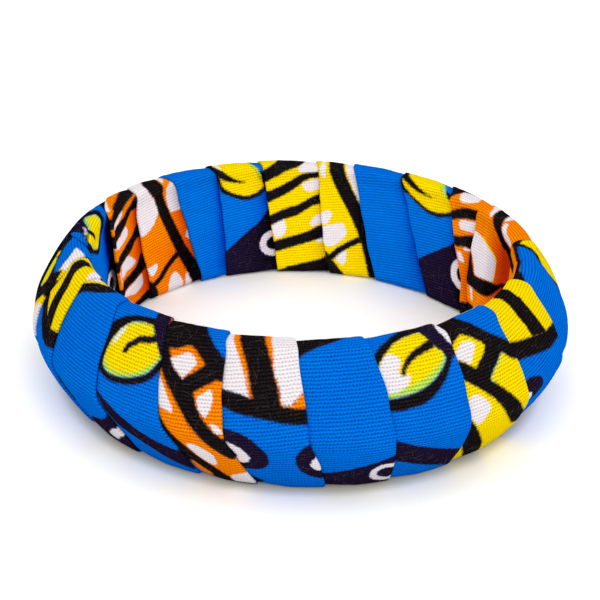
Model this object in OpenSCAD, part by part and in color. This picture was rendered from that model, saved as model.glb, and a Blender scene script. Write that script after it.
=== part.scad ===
/* [Bangle] */
// Clear distance across the wrist hole, between the inner faces of the cloth
wrist_d = 65; // [58:0.5:72]
// Height of the finished bangle, lying flat
height = 21; // [17:0.5:25]
// Thickness of the finished bangle, from the wrist hole to its widest circle
thickness = 9.5; // [8:0.5:11]
// Height of the widest circle above the underside
belly_z = 9.5; // [8:0.5:11]
// Width of the flat rim on top
rim_w = 3.6; // [3:0.2:4.4]
// Width of the flat underside
foot_w = 4.8; // [4:0.2:5.4]
// How full the outside is above the widest circle (1 is a cone, 2 a parabola)
fullness_above = 1.57; // [1.3:0.05:1.9]
// How full the outside is below the widest circle
fullness_below = 1.31; // [1.2:0.05:1.6]

/* [Strip] */
// Thickness of the wound strip, two layers of printed cotton with the edge folded under
strip_t = 0.5; // [0.4:0.05:0.7]
// Width of each turn that is tucked under the turn before it
lap_w = 2.2; // [1.6:0.1:2.6]
// Small gap between a turn and whatever it lies on
gap = 0.1; // [0.08:0.01:0.14]

/* [Core] */
// Radius of the core's upper inner corner
core_corner_r = 1; // [0.6:0.1:1.2]

/* [Smoothness] */
// Steps up the inside
steps_inside = 3; // [2:1:4]
// Steps along the outside above the widest circle
steps_above = 6; // [4:1:6]
// Steps along the outside below the widest circle
steps_below = 5; // [4:1:6]

/* [Hidden] */
// Above the core the strip lies on two levels: tucked under its neighbour, or one lift higher
lift = strip_t + gap;
crest = 2 * lift;
mean_level = 1.5 * lift;

core_in_r = wrist_d / 2 + mean_level;
core_out_r = wrist_d / 2 + thickness - mean_level;
core_low_z = crest;
core_top_z = height - mean_level;
// The cloth rounds the core's outer corners, so the core's flats are narrower than the cloth's
core_rim_w = rim_w - 1.5 * mean_level;
core_foot_w = foot_w - 1.5 * mean_level;

// Folded edges of the strip, a row a turn: the angles, anticlockwise from the right seen from
// above, at which the fold climbs the inside, crosses the rim, passes the widest circle and
// reaches the underside. The last column is the colour that its print mostly shows
INNER_FOOT = 0;
RIM = 1;
BELLY = 2;
OUTER_FOOT = 3;
COLOUR = 4;
FOLDS = [
    [ 24,  27,  30,  33, "orange"],
    [ 31,  40,  43,  46, "darkorange"],
    [ 46,  60,  62,  65, "darkslateblue"],
    [ 65,  75,  78,  81, "deepskyblue"],
    [ 81,  86,  92,  98, "gold"],
    [ 98, 103, 108, 115, "yellow"],
    [115, 118, 121, 124, "darkslateblue"],
    [124, 134, 138, 144, "deepskyblue"],
    [144, 151, 155, 160, "orange"],
    [160, 168, 170, 173, "darkorange"],
    [173, 182, 184, 187, "darkslateblue"],
    [187, 195, 196, 201, "deepskyblue"],
    [201, 208, 211, 217, "yellow"],
    [217, 223, 228, 233, "deepskyblue"],
    [233, 238, 244, 249, "darkslateblue"],
    [249, 253, 257, 261, "orange"],
    [261, 269, 273, 276, "darkorange"],
    [276, 285, 288, 290, "deepskyblue"],
    [290, 303, 304, 305, "darkslateblue"],
    [305, 320, 320, 325, "gold"],
    [325, 338, 338, 342, "yellow"],
    [342, 350, 354, 358, "deepskyblue"],
    [358, 361, 367, 376, "darkslateblue"],
];
turns = len(FOLDS);

// Across the strip, a row a line of points: where it lies between the fold of the turn before
// (0) and its own fold (1), its shift from there in mm, and its rise from the core level (0)
// to the level of a strip that lies on its neighbour (1)
PLACE = 0;
SHIFT = 1;
RISE = 2;
LINES = [
    [0.0, -lap_w,         0.0],
    [0.0, gap,            0.0],
    [0.5, 0,              0.6],
    [1.0, -(lap_w + gap), 1.0],
    [1.0, 0,              1.0],
];
lines = len(LINES);
middle_line = 2;

// The core's section as points [radius, height]: from the middle of the underside to the inner
// foot, up the inside, over the rim, down the outside and back to the outer foot
core_corner_low_z = core_top_z - core_corner_r;
function outside(width, full, t) =
    core_in_r + width + (core_out_r - core_in_r - width) * (1 - pow(t, full));
SECTION = [
    [core_in_r + core_foot_w / 2, core_low_z],
    for (step = [0 : steps_inside])
        [core_in_r, core_low_z + (core_corner_low_z - core_low_z) * step / steps_inside],
    [core_in_r + core_corner_r * (1 - cos(45)), core_corner_low_z + core_corner_r * sin(45)],
    [core_in_r + core_corner_r, core_top_z],
    for (step = [steps_above : -1 : 0]) let (t = step / steps_above)
        [outside(core_rim_w, fullness_above, t), belly_z + (core_top_z - belly_z) * t],
    for (step = [1 : steps_below]) let (t = step / steps_below)
        [outside(core_foot_w, fullness_below, t), belly_z - (belly_z - core_low_z) * t],
];
corners = len(SECTION);
inner_foot_at = 1;
rim_at = inner_foot_at + steps_inside + 2;
belly_at = rim_at + 1 + steps_above;
outer_foot_at = belly_at + steps_below;

// Outward mitre at a corner, which keeps both of its edges the same distance off the core
function corner(n) = SECTION[n % corners];
function edge_direction(n) = let (edge = corner(n + 1) - corner(n)) edge / norm(edge);
function edge_normal(n) = let (along_edge = edge_direction(n)) [-along_edge[1], along_edge[0]];
function mitre(n) =
    let (before = edge_normal(n + corners - 1), after = edge_normal(n))
    (before + after) / (1 + before * after);

// Length of the section from its first corner to corner n
function length_to(n) = n == 0 ? 0 : length_to(n - 1) + norm(corner(n) - corner(n - 1));
LENGTHS = [for (n = [0 : corners]) length_to(n)];

// Angle of the fold of a turn at corner n. The strip starts and ends in the middle of the
// underside, where one turn runs on into the next
function fold_point(turn, column) =
    FOLDS[(turn + turns) % turns][column] + 360 * floor(turn / turns);
function seam_angle(turn) =
    (fold_point(turn - 1, OUTER_FOOT) + fold_point(turn, INNER_FOOT)) / 2;
function fold_angle(turn, n) = lookup(LENGTHS[n], [
    [LENGTHS[0], seam_angle(turn)],
    [LENGTHS[inner_foot_at], fold_point(turn, INNER_FOOT)],
    [LENGTHS[rim_at], fold_point(turn, RIM)],
    [LENGTHS[belly_at], fold_point(turn, BELLY)],
    [LENGTHS[outer_foot_at], fold_point(turn, OUTER_FOOT)],
    [LENGTHS[corners], seam_angle(turn + 1)],
]);

// Where the bangle rests, the strip is pressed flat up to its middle line
function pressed(n) = n <= inner_foot_at || n >= outer_foot_at;
function rise(line, n) = line == middle_line && pressed(n) ? 1 : LINES[line][RISE];

// The two ends of a turn stop half a gap short of each other
function end_clearance(n) =
    n == 0 ? edge_direction(0) * gap / 2
    : n == corners ? -edge_direction(corners - 1) * gap / 2
    : [0, 0];

// A point of a turn at corner n, on one of its lines, at a height above its underside
function strip_point(turn, n, line, above) =
    let (
        section = corner(n) + end_clearance(n) + mitre(n) * (gap + rise(line, n) * lift + above),
        place = LINES[line][PLACE],
        angle = fold_angle(turn - 1, n) * (1 - place) + fold_angle(turn, n) * place
            + LINES[line][SHIFT] / section[0] * 180 / PI
    )
    [section[0] * cos(angle), section[0] * sin(angle), section[1]];

// Faces of a turn: its two ends, and between them quads that are split along their shorter
// diagonal above and below, so that the strip lies evenly on the turn beneath it
ring = 2 * lines;
function split_quad(a, b, c, d, from_a) =
    from_a ? [[a, b, c], [a, c, d]] : [[a, b, d], [b, c, d]];
TURN_FACES = concat(
    [for (line = [0 : lines - 2], end = [0, 1])
        let (low = end * corners * ring, under = ring - 1 - line)
        each end == 0
            ? split_quad(low + under, low + under - 1, low + line + 1, low + line, true)
            : split_quad(low + line, low + line + 1, low + under - 1, low + under, true)],
    [for (n = [0 : corners - 1], k = [0 : ring - 1])
        let (low = n * ring, next = (k + 1) % ring)
        each split_quad(low + k, low + next, low + ring + next, low + ring + k, k >= lines)]
);

module core_ring() {
    color("burlywood")
        rotate_extrude($fn = 180)
            polygon(SECTION);
}

module wrap_turn(turn) {
    color(FOLDS[turn][COLOUR])
        polyhedron(
            points = [for (n = [0 : corners])
                each concat(
                    [for (line = [0 : lines - 1]) strip_point(turn, n, line, strip_t)],
                    [for (line = [lines - 1 : -1 : 0]) strip_point(turn, n, line, 0)]
                )],
            faces = TURN_FACES,
            convexity = 6
        );
}

function turn_name(turn) = str("wrap_", turn < 9 ? "0" : "", turn + 1);

core_ring();
for (turn = [0 : turns - 1])
    wrap_turn(turn);
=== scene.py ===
"""A bangle wound with one folded strip of wax-printed cotton, lying on a white floor."""

import math
import random
from functools import partial

import bmesh
import bpy
import numpy as np
from mathutils import Matrix, Vector, noise


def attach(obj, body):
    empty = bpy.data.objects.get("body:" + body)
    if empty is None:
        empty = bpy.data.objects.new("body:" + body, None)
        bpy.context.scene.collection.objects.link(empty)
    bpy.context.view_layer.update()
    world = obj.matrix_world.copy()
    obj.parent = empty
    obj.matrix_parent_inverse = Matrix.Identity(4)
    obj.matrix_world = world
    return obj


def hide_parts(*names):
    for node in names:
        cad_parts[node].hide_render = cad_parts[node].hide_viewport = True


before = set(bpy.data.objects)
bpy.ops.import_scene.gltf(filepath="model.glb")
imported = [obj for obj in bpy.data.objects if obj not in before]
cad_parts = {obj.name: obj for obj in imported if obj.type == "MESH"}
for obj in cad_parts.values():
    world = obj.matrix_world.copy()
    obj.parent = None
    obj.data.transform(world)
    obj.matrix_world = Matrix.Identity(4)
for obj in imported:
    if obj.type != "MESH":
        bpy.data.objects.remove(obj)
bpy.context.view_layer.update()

# Lengths are in mm and angles in degrees, until a mesh or a material takes them in metres
MM = 0.001
TURNS = 23

# Sizes as the CAD source has them
WRIST_R = 32.5
HEIGHT = 21
THICKNESS = 9.5
BELLY_Z = 9.5
RIM_W = 3.6
FOOT_W = 4.8
FULL_ABOVE = 1.57
FULL_BELOW = 1.31
STRIP_T = 0.5
LAP_W = 2.2

# A turn starts half a step below the mean surface and climbs half a step above it, and where it
# is tucked under its neighbour it sinks a little into the padding
STEP = 0.4
SINK = 0.13

# Where each turn's folded edge runs: its angle, anticlockwise from the right seen from above, at
# these distances along the section, from the foot of the inside up to the rim at about 21, the
# widest circle at 36 and the outer foot at 47
STATIONS = (0, 6, 12, 18, 21, 25, 30, 36, 41, 47)
AT_RIM = STATIONS.index(21)
FOLDS = (
    (26, 28.5, 28.5, 27, 27, 28, 29, 30, 31, 33),
    (31, 31.5, 36, 38.7, 40.8, 46, 45.5, 45, 45, 46),
    (46, 50, 53.5, 57, 59.5, 60.5, 61, 62, 63.5, 65),
    (65, 68.6, 71, 73.4, 75, 76, 77, 78, 79.5, 81),
    (81, 83.4, 84.5, 85.3, 86, 87.5, 89.5, 92, 95, 98),
    (98, 99.6, 101.4, 102.8, 103.3, 104, 106, 108, 111, 115),
    (115, 115.8, 116.8, 118, 119, 119.7, 120.3, 121, 122.5, 124),
    (124, 127, 130, 133, 134, 135, 136.5, 138, 141, 144),
    (144, 146.5, 149, 150.4, 148.8, 145.5, 148, 152, 155.5, 160),
    (160, 163.3, 166.2, 167.9, 164.8, 151, 157, 164, 169, 173),
    (173, 177, 183.5, 191.5, 187.5, 177.5, 181, 184, 185.5, 187),
    (187, 190, 192.5, 194, 194.8, 199.2, 196.4, 196.5, 198, 201),
    (201, 203.5, 206, 207.8, 208.5, 210.2, 210.4, 211, 213.5, 217),
    (217, 219, 221, 222.5, 223.3, 226.3, 227, 228.5, 232.3, 233.5),
    (233, 234.5, 236, 237.5, 238.8, 241, 241.9, 244.3, 247.4, 249.2),
    (249, 250, 251.5, 252.8, 253.7, 254.9, 255.4, 256.7, 259.2, 262),
    (261, 263, 266, 268, 269.3, 269.9, 271.1, 272.4, 274.5, 276.3),
    (276, 278.5, 281, 283.5, 284.6, 285.5, 287, 287.9, 288.9, 290),
    (290, 294, 298, 301.5, 303, 303.3, 303.6, 304, 304.1, 304.8),
    (305, 310, 314, 318.5, 319.8, 318, 318.9, 320.4, 322.5, 325),
    (325, 329, 333, 337, 338.5, 336.6, 337.7, 338.5, 340, 342),
    (342, 345, 347.5, 349.5, 350.2, 352.3, 354, 355, 357, 360),
    (358, 358.5, 359, 360, 363.2, 363.6, 366, 368.5, 371, 376),
)


# Curves, noise and objects

def ramp(value, none, full):
    """0 up to one value, 1 from another value on, and even between them."""
    return np.clip((value - none) / (full - none), 0, 1)


def span(value, stops):
    """0 outside four stops, 1 between the middle two, and even ramps between."""
    return ramp(value, stops[0], stops[1]) * ramp(value, stops[3], stops[2])


def hump(value, middle, reach):
    """A bell curve, 1 in its middle."""
    return np.exp(-((value - middle) / reach) ** 2)


def smoothed(values, reach, width, ends):
    """Values averaged with their neighbours by a bell curve; ends says how they run on."""
    weights = np.exp(-0.5 * (np.arange(-reach, reach + 1) / width) ** 2)
    return np.convolve(np.pad(values, reach, mode=ends), weights / weights.sum(), "valid")


def ripple(x, y, seed):
    """Smooth noise from -1 to 1."""
    flat = [noise.noise((a, b, seed)) for a, b in zip(np.ravel(x), np.ravel(y))]
    return np.array(flat).reshape(np.shape(x))


def in_scene(name, data):
    """A new object in the scene."""
    thing = bpy.data.objects.new(name, data)
    bpy.context.scene.collection.objects.link(thing)
    return thing


# Section of the wrap

SECTION_STEP = 0.125
# Reach and width, in steps, of the bell curve that rounds the section
SECTION_REACH, SECTION_WIDTH = 18, 4.5
# The inside's corners, and where its wall starts, before they are rounded
UPPER_CORNER_R = 0.8
LOWER_CORNER_R = 0.3
WALL_FROM_Z = 0.7
# The strip's rows start and end under the bangle at this radius, past this distance
SEAM_R = 35.2
SEAM_AFTER = 44


def closed_section():
    """Mean surface of the wrap as radius, height and outward normal, a point every SECTION_STEP
    from the foot of the inside, up it, over the rim, down the outside and back underneath."""
    under_z = STEP / 2
    corner = np.linspace(math.pi, math.pi / 2, 9)
    t = np.linspace(0, 1, 60)
    wall_z = np.linspace(WALL_FROM_Z, HEIGHT - UPPER_CORNER_R, 20)
    inside = np.stack([np.full(len(wall_z), WRIST_R), wall_z], 1)
    upper_corner = np.stack([WRIST_R + UPPER_CORNER_R * (1 + np.cos(corner)),
                             HEIGHT - UPPER_CORNER_R * (1 - np.sin(corner))], 1)
    above = np.stack([WRIST_R + RIM_W + (THICKNESS - RIM_W) * (1 - t[::-1] ** FULL_ABOVE),
                      BELLY_Z + (HEIGHT - BELLY_Z) * t[::-1]], 1)
    below = np.stack([WRIST_R + FOOT_W + (THICKNESS - FOOT_W) * (1 - t ** FULL_BELOW),
                      BELLY_Z - (BELLY_Z - under_z) * t], 1)
    lower_corner = np.stack([WRIST_R + LOWER_CORNER_R * (1 + np.cos(corner[::-1])),
                             under_z + LOWER_CORNER_R * (1 - np.sin(corner[::-1]))], 1)
    outline = np.concatenate([inside, upper_corner, above, below, lower_corner])
    lengths = np.r_[0, np.cumsum(np.hypot(*np.diff(outline, axis=0).T))]
    s = np.linspace(0, lengths[-1], round(lengths[-1] / SECTION_STEP), endpoint=False)
    radius, height = (
        smoothed(np.interp(s, lengths, outline[:, axis]), SECTION_REACH, SECTION_WIDTH, "wrap")
        for axis in (0, 1))
    slope = [np.roll(a, -1) - np.roll(a, 1) for a in (radius, height)]
    size = np.hypot(*slope)
    return s, radius, height, -slope[1] / size, slope[0] / size, lengths[-1]


SECTION_S, SECTION_R, SECTION_Z, NORMAL_R, NORMAL_Z, SECTION_LENGTH = closed_section()
S_END = float(SECTION_S[(SECTION_S > SEAM_AFTER) & (SECTION_R < SEAM_R)][0])
S_START = S_END - SECTION_LENGTH

ROWS = 157
ROW_S = np.linspace(S_START, S_END, ROWS)


def along(s, values):
    """A value of the section at distance s."""
    return np.interp(s % SECTION_LENGTH, SECTION_S, values, period=SECTION_LENGTH)


ROW_R = along(ROW_S, SECTION_R)

# Steps a row at which a fold line is drawn, and the bell curve that rounds it
FOLD_STEPS = 4
FOLD_REACH, FOLD_WIDTH = 24, 9
# How far a fold wavers, the length of a waver, and the distance from the seam where it begins
WAVER = 0.22
WAVER_LENGTH = 3.5
WAVER_FROM = 3
DEGREES_IN_RADIAN = 57.3


def fold_line(turn):
    """Angle of a turn's folded edge at each row; turns count from 1 and run on round the ring."""
    index, lap = (turn - 1) % TURNS, (turn - 1) // TURNS
    here = FOLDS[index]
    before = FOLDS[index - 1][-1] - (360 if index == 0 else 0)
    after = FOLDS[(index + 1) % TURNS][0] + (360 if index == TURNS - 1 else 0)
    stations = (S_START,) + STATIONS + (S_END,)
    angles = ((before + here[0]) / 2,) + here + ((here[-1] + after) / 2,)
    fine_s = np.linspace(S_START, S_END, FOLD_STEPS * ROWS)
    smooth = smoothed(np.interp(fine_s, stations, angles), FOLD_REACH, FOLD_WIDTH, "edge")
    waver = WAVER * ripple(ROW_S / WAVER_LENGTH, ROW_S * 0, 7.3 * index + 0.5)
    waver *= span(ROW_S, (S_START, S_START + WAVER_FROM, S_END - WAVER_FROM, S_END))
    return np.interp(ROW_S, fine_s, smooth) + waver * DEGREES_IN_RADIAN / ROW_R + 360 * lap


# The print

# The inks in the order they are laid: colour, how far each spreads past its charted edge, how
# much and which way the weave roughens that edge, and how soft it is
INK_LOOKS = {
    "orange": ("#dd6c00", 0.12, -1.0, 0.224),
    "yellow": ("#e0c000", 0.12, -1.0, 0.224),
    "white": ("#d2cbcf", 0.02, -1.0, 0.182),
    "green": ("#9ac23c", 0.0, 1.6, 0.364),
    "black": ("#0e0a0c", 0.0, 1.2, 0.266),
    "aubergine": ("#140b22", 0.0, 1.2, 0.196),
}
INKS = tuple(INK_LOOKS)
BLACK = INKS.index("black")


def patch(ink, *points):
    """A printed shape with straight sides. As with every shape, an ink called blue leaves the
    cloth's own blue."""
    return "patch", ink, points, None


def blob(ink, *points):
    """A printed shape with a smooth outline."""
    return "blob", ink, points, None


def stroke(ink, widths, *points):
    """A brushed line with its width at the start and at the end."""
    return "stroke", ink, points, widths


def ring(ink, centre, outer, inner):
    """A printed ring with its two radii."""
    return "ring", ink, (centre,), (outer, inner)


# Charts of the print on each turn: shapes in the order they are laid, whose points
# are (angle, distance along the section)
INSIDE, OUTSIDE = {}, {}
INSIDE[1] = [
    patch("orange", (-30, 14), (5, 9), (16, 3), (22, 3), (29.5, 3), (31, 12), (28, 21), (33, 24),
          (34, 28), (-30, 28)),
    patch("white", (24.3, 3.8), (25.2, 4), (26.5, 6.2), (25.3, 6.3)),
    patch("black", (10, -4), (29.8, -4), (29.8, 3.4), (24, 3), (18, 2)),
    stroke("yellow", (0.5, 0.4), (22, 16), (18.5, 15.2), (13.4, 14.6), (12.8, 12.5), (13.9, 10.4)),
    blob("white", (13.2, 14.6), (12.6, 12.5), (13.8, 10.3), (18, 9.6), (24, 8.9), (25.5, 10.5),
         (27.4, 12.6), (28.2, 13.6), (27.3, 15.2), (26.4, 16.4), (22, 15.9), (18.5, 15.1)),
    blob("black", (-5, 14), (5, 11.6), (10, 9.4), (15, 7.2), (20, 6.2), (25, 6.1), (28.5, 6.6),
         (29.3, 8.5), (29, 12), (28.6, 13), (27.2, 11.8), (26, 10), (24.4, 8.7), (20, 9.1),
         (15, 9.9), (10, 10.7), (5, 12.2)),
    blob("black", (-14, 17.3), (0, 17.2), (5, 17.7), (9, 17.7), (14, 18.7), (19, 20.2),
         (21.5, 21.5), (24, 23.5), (22, 25), (18.6, 23.2), (17, 22), (15, 21), (12, 20), (8, 19.2),
         (4, 19), (-14, 18.6)),
    blob("white", (2, 19.4), (6, 19.2), (9, 19.4), (12, 20.1), (14.2, 21.3), (13.5, 21.6),
         (11, 20.7), (8, 20.2), (4, 20)),
    blob("white", (15.7, 21.5), (17, 22), (18.7, 23.4), (19, 24.5), (16.6, 23.4)),
    blob("white", (20.5, 20.4), (22.5, 20.9), (24, 22), (26.5, 23.5), (24.5, 24), (22.5, 22.3)),
]
INSIDE[2] = [
    patch("orange", (25, -4), (46, -4), (33, 9), (37, 14), (39.5, 19), (38.5, 23.5), (36, 28),
          (24, 28), (24, 10)),
    patch("white", (30.8, 9.5), (33, 9.6), (34.2, 11), (32.7, 11.2), (31.3, 10.4)),
    patch("white", (27, 12.2), (31.5, 11.8), (31.5, 12.2), (28.5, 12.6), (27, 12.8)),
    patch("black", (26, -4), (46, -4), (34, 1.5), (26, 3)),
    blob("black", (25.5, 12.9), (28.5, 12.5), (32, 12.3), (34.7, 11.8), (37, 12.2), (37, 13.3),
         (33, 14.1), (30, 14.8), (25.5, 15.2)),
    patch("white", (27, 15.7), (30, 15.5), (33.8, 15.2), (34.5, 16), (34, 16.8), (30, 17.4),
          (26, 17.9), (26.2, 16.8)),
    blob("black", (24.5, 18.4), (27, 18.1), (30, 17.7), (34, 17), (38, 16), (40.5, 15.8),
         (40.5, 17.4), (38, 17.9), (34, 19.1), (30, 19.7), (27, 20), (24.8, 19.6)),
    blob("white", (30.9, 21.4), (32.3, 20.4), (35, 20), (37, 20.9), (38, 22), (38, 23.4), (34, 24),
         (31.8, 22.8)),
    blob("black", (38.3, 21.3), (39.5, 19.8), (42, 19.6), (43, 24), (38.5, 24)),
    patch("black", (31, 24.3), (33, 23.7), (36, 23.1), (38.5, 22.6), (41, 21.8), (43.5, 20.9),
          (48, 20.6), (48, 27), (30, 27)),
]
INSIDE[3] = [
    patch("aubergine", (26, -4), (52, -4), (52, 5.6), (47, 7.7), (42, 9.7), (38.5, 11),
          (35.3, 12.6), (30, 13)),
    ring("white", (31.7, 6.9), 2.9, 1.45),
    blob("black", (36, 18), (38.5, 16.5), (41, 15.9), (44, 15.4), (48, 15.6), (52, 16.6),
         (55, 17.7), (58, 18.7), (60.5, 20.6), (61.5, 24), (50, 25), (45, 23.2), (42.5, 21),
         (38.8, 20.4), (36.5, 20)),
    blob("green", (41, 19.2), (44, 20.3), (48, 22.6), (50, 24.5), (46.5, 23.2), (43.5, 21.4)),
    blob("yellow", (37.5, 18.2), (39, 17.3), (42, 16.6), (45.5, 16.2), (49, 16.6), (53, 17.7),
         (56, 18.9), (58, 20.2), (59, 23), (57.5, 25), (50, 24.4), (46.5, 22), (44, 20.4),
         (41, 19.4), (38.5, 18.9)),
    stroke("black", (0.35, 1.6), (46.8, 18.6), (49.5, 18.9), (52.5, 19.4), (55.5, 20.2), (58, 21.2),
           (60.3, 23.6)),
    patch("blue", (42.7, 20.7), (44.3, 21.6), (46.3, 23.8), (44.8, 24)),
]
INSIDE[5] = [
    patch("yellow", (64, -4), (100, -4), (90, 8), (90, 26), (66, 26), (66, 4)),
    blob("white", (75.6, 2.6), (76.8, 1.7), (78.3, 2.4), (79, 3.3), (77.8, 4), (76.4, 4.9),
         (75.6, 4.3)),
    blob("white", (75.9, 8), (77.2, 6.8), (79.5, 5.6), (82, 5.2), (83.4, 6.3), (84.4, 8.5),
         (80, 9.6), (77.5, 10), (76.4, 9.3)),
    blob("white", (80.8, 11.4), (82, 10), (84, 9.4), (86, 10.2), (84.4, 11.5), (82.6, 12.2),
         (81.3, 12)),
    blob("white", (83.4, 18.9), (84.5, 18.8), (85.1, 20), (84.8, 22), (84.6, 24.5), (83.9, 22)),
    patch("white", (71.5, 14), (73, 15), (74.3, 17), (76, 19), (77.4, 21.4), (78, 25), (73, 25),
          (72, 18)),
    stroke("black", (2.2, 2.9), (64.6, -3), (66.9, 2.8), (69.6, 8), (72.2, 11.3), (74.6, 14),
           (77.5, 17), (80, 20.4), (81, 25)),
    patch("black", (62, -4), (66, 0.6), (69, 5.2), (70.6, 7.2), (73, 12), (72.2, 14.6), (69, 10),
          (64, 3)),
    stroke("black", (1.2, 1.3), (69.8, 7.6), (73.5, 6.4), (77.5, 4.8), (80.4, 3.2), (83, 2)),
    patch("black", (76.2, -4), (100, -4), (84, -0.2), (83.8, 4.5), (82, 4), (80.6, 2.9),
          (78.5, 1.5), (76.3, 0)),
]
INSIDE[6] = [
    patch("yellow", (80, -4), (116, -4), (106, 26), (84, 26)),
    blob("white", (82, 6.2), (84, 5.7), (85.5, 5.8), (85.6, 6.4), (84.8, 6.9), (82, 7)),
    blob("white", (83, 10), (85, 9.4), (87, 8.9), (87.8, 9.3), (87.4, 10), (86, 10.9), (83, 11.4)),
    blob("white", (95.6, 8.1), (96.8, 7), (98.7, 6.6), (99.7, 7.5), (100.2, 9), (98.5, 9.8),
         (97, 10.3), (96, 9.4)),
    blob("white", (84, 16.7), (86.5, 16), (89, 15.6), (90.5, 16.7), (90, 17.3), (87.5, 17.8),
         (84, 18.4)),
    patch("white", (84, 19.3), (91.8, 19.4), (92, 20.2), (91.5, 21.2), (90, 22.2), (89, 25),
          (84, 25)),
    patch("black", (80, -4), (116, -4), (99, -0.4), (95, 0.7), (91, 1.3), (87, 1.9), (84, 2.4),
          (82.3, 3.1)),
    blob("black", (81, 7.3), (85, 6.3), (88, 5.7), (92, 4.9), (96, 4.2), (99.8, 3.7), (102, 4.5),
         (99.6, 5.9), (96, 6.5), (92, 7.2), (88, 8), (85.5, 8.9), (81, 9.6)),
    blob("black", (82, 13.9), (87, 12.9), (90, 11.7), (92, 11), (95, 10.4), (98, 9.8), (102, 8.8),
         (102.5, 10.5), (96, 12.4), (92, 13.1), (88, 14.5), (82, 15.9)),
    blob("black", (83, 18.7), (89, 17.9), (92, 16.6), (95, 15.4), (98, 14.5), (103.5, 13.3),
         (104, 15.2), (100, 16.2), (96, 17.3), (93, 18.4), (90, 19.2), (83, 19.5)),
    patch("black", (90, 22.8), (91, 21.2), (92.2, 20.3), (96, 19.5), (99, 18.5), (103.2, 17.3),
          (105, 17), (105, 19.4), (101.3, 20.4), (99.3, 21.6), (98, 23.5), (97, 26), (88, 26)),
]
INSIDE[7] = [
    patch("aubergine", (95, -4), (118, -4), (118, 3.9), (112, 6.4), (108, 8.3), (104.5, 9.8),
          (101.6, 12), (98, 12)),
    ring("white", (99.6, 5.4), 2.6, 1.3),
    blob("black", (101, 17), (104, 15), (106.5, 14.5), (109, 14.3), (112, 14.8), (115, 15.6),
         (117.5, 16.6), (119, 18.8), (121, 20), (123.2, 21.6), (123, 26), (106, 26), (105, 20.4),
         (103, 19.4), (101.5, 18.4)),
    blob("green", (103.6, 17.6), (105.8, 20), (108, 22.6), (108.5, 25), (106.8, 22.8), (104.7, 20)),
    blob("yellow", (103.2, 16.7), (105, 15.8), (108, 15.2), (111, 15.5), (114, 16.3), (116.5, 17.3),
         (117.4, 18.6), (118, 21), (117.5, 26), (108.5, 26), (107.3, 21.8), (105.5, 19.7),
         (104, 18)),
    stroke("black", (0.35, 2.4), (109.3, 17.8), (112.5, 18.2), (115.5, 19), (118, 20.1),
           (120.4, 21.8), (121.5, 25)),
    blob("white", (116.9, 20.6), (117.8, 21.5), (118, 25), (116.7, 25), (116.6, 22.5)),
    patch("blue", (103.4, 19.4), (105, 20.6), (106.3, 23), (106.3, 26), (102, 26), (102, 20)),
]
INSIDE[9] = [
    patch("orange", (120, -4), (162, -4), (152, 10), (156, 26), (130, 26), (128, 8)),
    patch("white", (127, -3), (130.2, -1), (130.5, 1), (130, 2.4), (128.6, 1.5)),
    blob("white", (131.4, 0), (132.5, -1.6), (136.4, -1.6), (137.4, 0), (137.2, 1.5), (136.4, 2.6),
         (135, 3.3), (133.3, 2.6), (132, 1.5)),
    blob("white", (142, 5.5), (143, 4.6), (144.7, 4.2), (146, 5.2), (146.5, 6), (144.5, 6.1),
         (142.4, 6.2)),
    patch("white", (127.6, 8.2), (128.6, 8.6), (130, 9.3), (129.4, 10.6), (128, 10.8)),
    patch("white", (130.5, 14.8), (135.6, 14.8), (136.6, 16), (137.3, 17.5), (137, 19.4),
          (134.6, 20.6), (132.8, 22), (132.2, 25), (129, 25), (130, 18)),
    patch("white", (135, 23), (135.8, 21.8), (137.2, 20.8), (137, 25), (134.6, 25)),
    patch("white", (141.2, 15.4), (143, 13.9), (144.8, 13.1), (146.4, 12.6), (152, 12.4), (154, 17),
          (153, 21), (150, 26), (141, 26), (141.6, 23.8), (143.6, 22), (144.3, 21), (144.6, 20),
          (143.3, 18.8), (142, 17.3), (141, 16.3)),
    stroke("black", (2.2, 2.3), (124.2, -2), (127.3, 2.2), (131, 6.2), (134.2, 10), (137, 13.3),
           (139.4, 16.4), (141, 19.2), (141.2, 20.8)),
    patch("black", (139, 18), (143.4, 18.8), (144.6, 20), (144.4, 20.8), (143.6, 22), (141.4, 23.8),
          (140.6, 26), (136.4, 26), (136.8, 24), (138, 21), (138.2, 19.6)),
    patch("black", (120, -4), (126, -1), (128, 2.5), (131, 7.5), (129.5, 7.2), (126, 4), (122, 3)),
    stroke("black", (1.2, 1.2), (133.5, 6.5), (137, 5.2), (140, 3.6), (142.4, 2.6), (145.5, 2.3)),
    patch("black", (141, -4), (162, -4), (147, 0), (146.4, 3.6), (144.8, 3.2), (142.8, 1.9),
          (141.6, 0)),
]
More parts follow.
